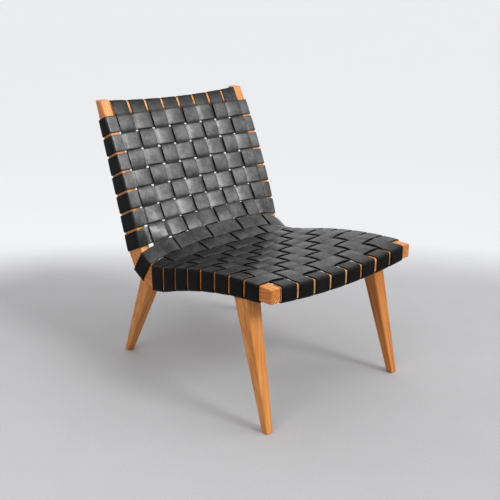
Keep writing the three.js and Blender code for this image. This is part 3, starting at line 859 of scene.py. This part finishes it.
# Camera: at the photograph's place, in front of the chair and to one side, about 2.2 m away
# and a little above it, with the lens that gives the photograph's frame.
camera_way = Vector((0.63377, 0.70435, -0.31973))
camera = bpy.data.objects.new("Camera", bpy.data.cameras.new("Camera"))
camera.location = (-1.4797, -1.6424, 1.0993)
camera.rotation_euler = camera_way.to_track_quat("-Z", "Y").to_euler()
camera.data.sensor_width = 36
camera.data.lens = 56.7
bpy.context.scene.collection.objects.link(camera)
bpy.context.scene.camera = camera
bpy.context.scene.view_settings.view_transform = "Standard"

# Studio: a pale matt floor that grows whiter away from the picture's foot, two broad lights
# from the front, a softer lamp on the left, and a surround that is bright behind on the right.
floor_reach = 30.0
floor_grey = (0.405, 0.405, 0.415)
floor_white = (0.715, 0.72, 0.735)
floor_stops = [(0.05, floor_grey), (1.05, floor_white)]
floor_cloud_waves = (7, 7, 7)
floor_fleck_waves = (160, 160, 160)
fade_range = (2.9, 3.6)
picture_foot = (camera.location.x, camera.location.y, 0)

bpy.ops.object.select_all(action="DESELECT")
bpy.ops.mesh.primitive_circle_add(vertices=64, radius=floor_reach, fill_type="NGON")
floor = bpy.context.object
floor.name = "floor"
paving, floor_tree, floor_place = new_finish("pale_floor")
floor_cloud = noise_value(floor_tree, floor_place, floor_cloud_waves, detail=6.0)
floor_fleck = noise_value(floor_tree, floor_place, floor_fleck_waves, detail=4.0)
floor_distance = vector_calc(floor_tree, "DISTANCE", floor_place, picture_foot, "Value")
floor_far = spread(floor_tree, floor_distance, *fade_range)
floor_fade = weighted(floor_tree, [(floor_far, 1.0), (floor_cloud, 0.10), (floor_fleck, 0.20)])
shade(floor_tree, {
    "Base Color": ramp(floor_tree, floor_fade, floor_stops),
    "Roughness": 0.8,
    "Specular IOR Level": 0.2,
})
floor.data.materials.append(paving)

bright_side = Vector((0.74, 0.62, 0.25)).normalized()
bright_side_range = (-0.3, 0.75)
side_light_range = (0.2, 0.8)
ceiling_range = (0.2, 1.0)
ceiling_light_range = (0.0, 0.4)
backdrop_white = (0.84, 0.845, 0.86, 1.0)

world = bpy.data.worlds.new("Studio")
bpy.context.scene.world = world
world.use_nodes = True
world_tree = world.node_tree
ray = node(world_tree, "ShaderNodeLightPath").outputs
seen = calc(world_tree, "MAXIMUM", ray["Is Camera Ray"], ray["Is Transmission Ray"])
world_way = node(world_tree, "ShaderNodeTexCoord").outputs["Generated"]
towards_bright = vector_calc(world_tree, "DOT_PRODUCT", world_way, bright_side, "Value")
towards_ceiling = node(world_tree, "ShaderNodeSeparateXYZ", {0: world_way}).outputs["Z"]
from_side = spread(world_tree, towards_bright, *bright_side_range, *side_light_range)
from_ceiling = spread(world_tree, towards_ceiling, *ceiling_range, *ceiling_light_range)
studio_light = node(world_tree, "ShaderNodeBackground", {
    "Color": (1.0, 1.0, 1.0, 1.0), "Strength": calc(world_tree, "ADD", from_side, from_ceiling),
})
studio_white = node(world_tree, "ShaderNodeBackground", {"Color": backdrop_white, "Strength": 1.0})
world_mix = node(world_tree, "ShaderNodeMixShader", {
    0: seen, 1: studio_light.outputs[0], 2: studio_white.outputs[0],
})
world_tree.links.new(world_mix.outputs[0], world_tree.nodes["World Output"].inputs["Surface"])

lamp_aim = Vector((0, 0.1, 0.5))


def add_lamp(name, kind, direction, distance, **settings):
    lamp = bpy.data.objects.new(name, bpy.data.lights.new(name, kind))
    for key, value in settings.items():
        setattr(lamp.data, key, value)
    lamp.location = lamp_aim + Vector(direction).normalized() * distance
    lamp.rotation_euler = (lamp_aim - lamp.location).to_track_quat("-Z", "Y").to_euler()
    bpy.context.scene.collection.objects.link(lamp)


add_lamp("key_light", "SUN", (0.212, -0.759, 0.616), distance=4.0, energy=1.5, angle=math.radians(18))
add_lamp("soft_light", "SUN", (0.604, -0.591, 0.524), distance=4.0, energy=0.8, angle=math.radians(36))
add_lamp("fill_lamp", "AREA", (-0.68, -0.30, 0.67), distance=3.0, energy=26, size=1.6)
